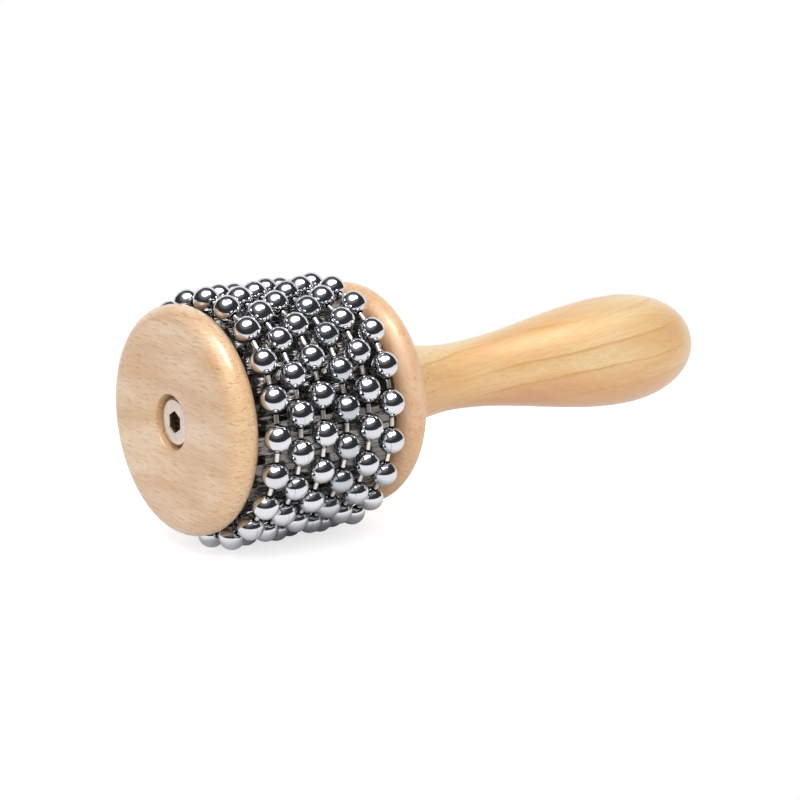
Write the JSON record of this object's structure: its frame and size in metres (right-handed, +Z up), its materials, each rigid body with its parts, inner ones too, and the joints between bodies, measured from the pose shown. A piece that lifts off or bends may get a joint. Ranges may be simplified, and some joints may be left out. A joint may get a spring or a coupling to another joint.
{
  "type": "cabasa",
  "caption": "Hand percussion shaker: loops of plated metal balls turn around a ribbed metal drum between two wooden discs on a turned wooden handle.",
  "frame": {"origin": "Centre of the front disc's flat outer face, on the axis of the drum and handle.", "axes": "+X runs along the drum's axis from the front disc to the handle, +Z is up with the axis level, as it lies on its bead loops, and +Y completes the right-handed set."},
  "size_m": [0.1799, 0.0701, 0.0691],
  "materials": {
    "disc_wood": "clear lacquered beech",
    "handle_wood": "clear lacquered pine",
    "core_wood": "plain turned wood",
    "sleeve_steel": "ribbed sheet steel",
    "tack_steel": "bright steel",
    "bolt_zinc": "zinc plated steel",
    "insert_brass": "plain brass",
    "ball_chrome": "polished plating",
    "link_nickel": "nickel plated pin"
  },
  "bodies": {
    "drum": {"front_disc": "disc_wood", "rear_disc": "disc_wood", "handle": "handle_wood", "drum_core": "core_wood", "drum_sleeve": "sleeve_steel", "sleeve_tacks": "tack_steel", "clamp_bolt": "bolt_zinc", "bolt_washer": "bolt_zinc", "threaded_insert": "insert_brass"},
    "bead_loop_1": {"bead_balls_1": "ball_chrome", "bead_links_1": "link_nickel"},
    "bead_loop_2": {"bead_balls_2": "ball_chrome", "bead_links_2": "link_nickel"},
    "bead_loop_3": {"bead_balls_3": "ball_chrome", "bead_links_3": "link_nickel"},
    "bead_loop_4": {"bead_balls_4": "ball_chrome", "bead_links_4": "link_nickel"},
    "bead_loop_5": {"bead_balls_5": "ball_chrome", "bead_links_5": "link_nickel"},
    "bead_loop_6": {"bead_balls_6": "ball_chrome", "bead_links_6": "link_nickel"}
  },
  "joints": [
    {"name": "bead_loop_1_spin", "type": "hinge", "parent": "drum", "child": "bead_loop_1", "pos_m": [0.01185, 0, 0], "axis": [1, 0, 0], "continuous": true},
    {"name": "bead_loop_2_spin", "type": "hinge", "parent": "drum", "child": "bead_loop_2", "pos_m": [0.01895, 0, 0], "axis": [1, 0, 0], "continuous": true},
    {"name": "bead_loop_3_spin", "type": "hinge", "parent": "drum", "child": "bead_loop_3", "pos_m": [0.02605, 0, 0], "axis": [1, 0, 0], "continuous": true},
    {"name": "bead_loop_4_spin", "type": "hinge", "parent": "drum", "child": "bead_loop_4", "pos_m": [0.03315, 0, 0], "axis": [1, 0, 0], "continuous": true},
    {"name": "bead_loop_5_spin", "type": "hinge", "parent": "drum", "child": "bead_loop_5", "pos_m": [0.04025, 0, 0], "axis": [1, 0, 0], "continuous": true},
    {"name": "bead_loop_6_spin", "type": "hinge", "parent": "drum", "child": "bead_loop_6", "pos_m": [0.04735, 0, 0], "axis": [1, 0, 0], "continuous": true}
  ]
}
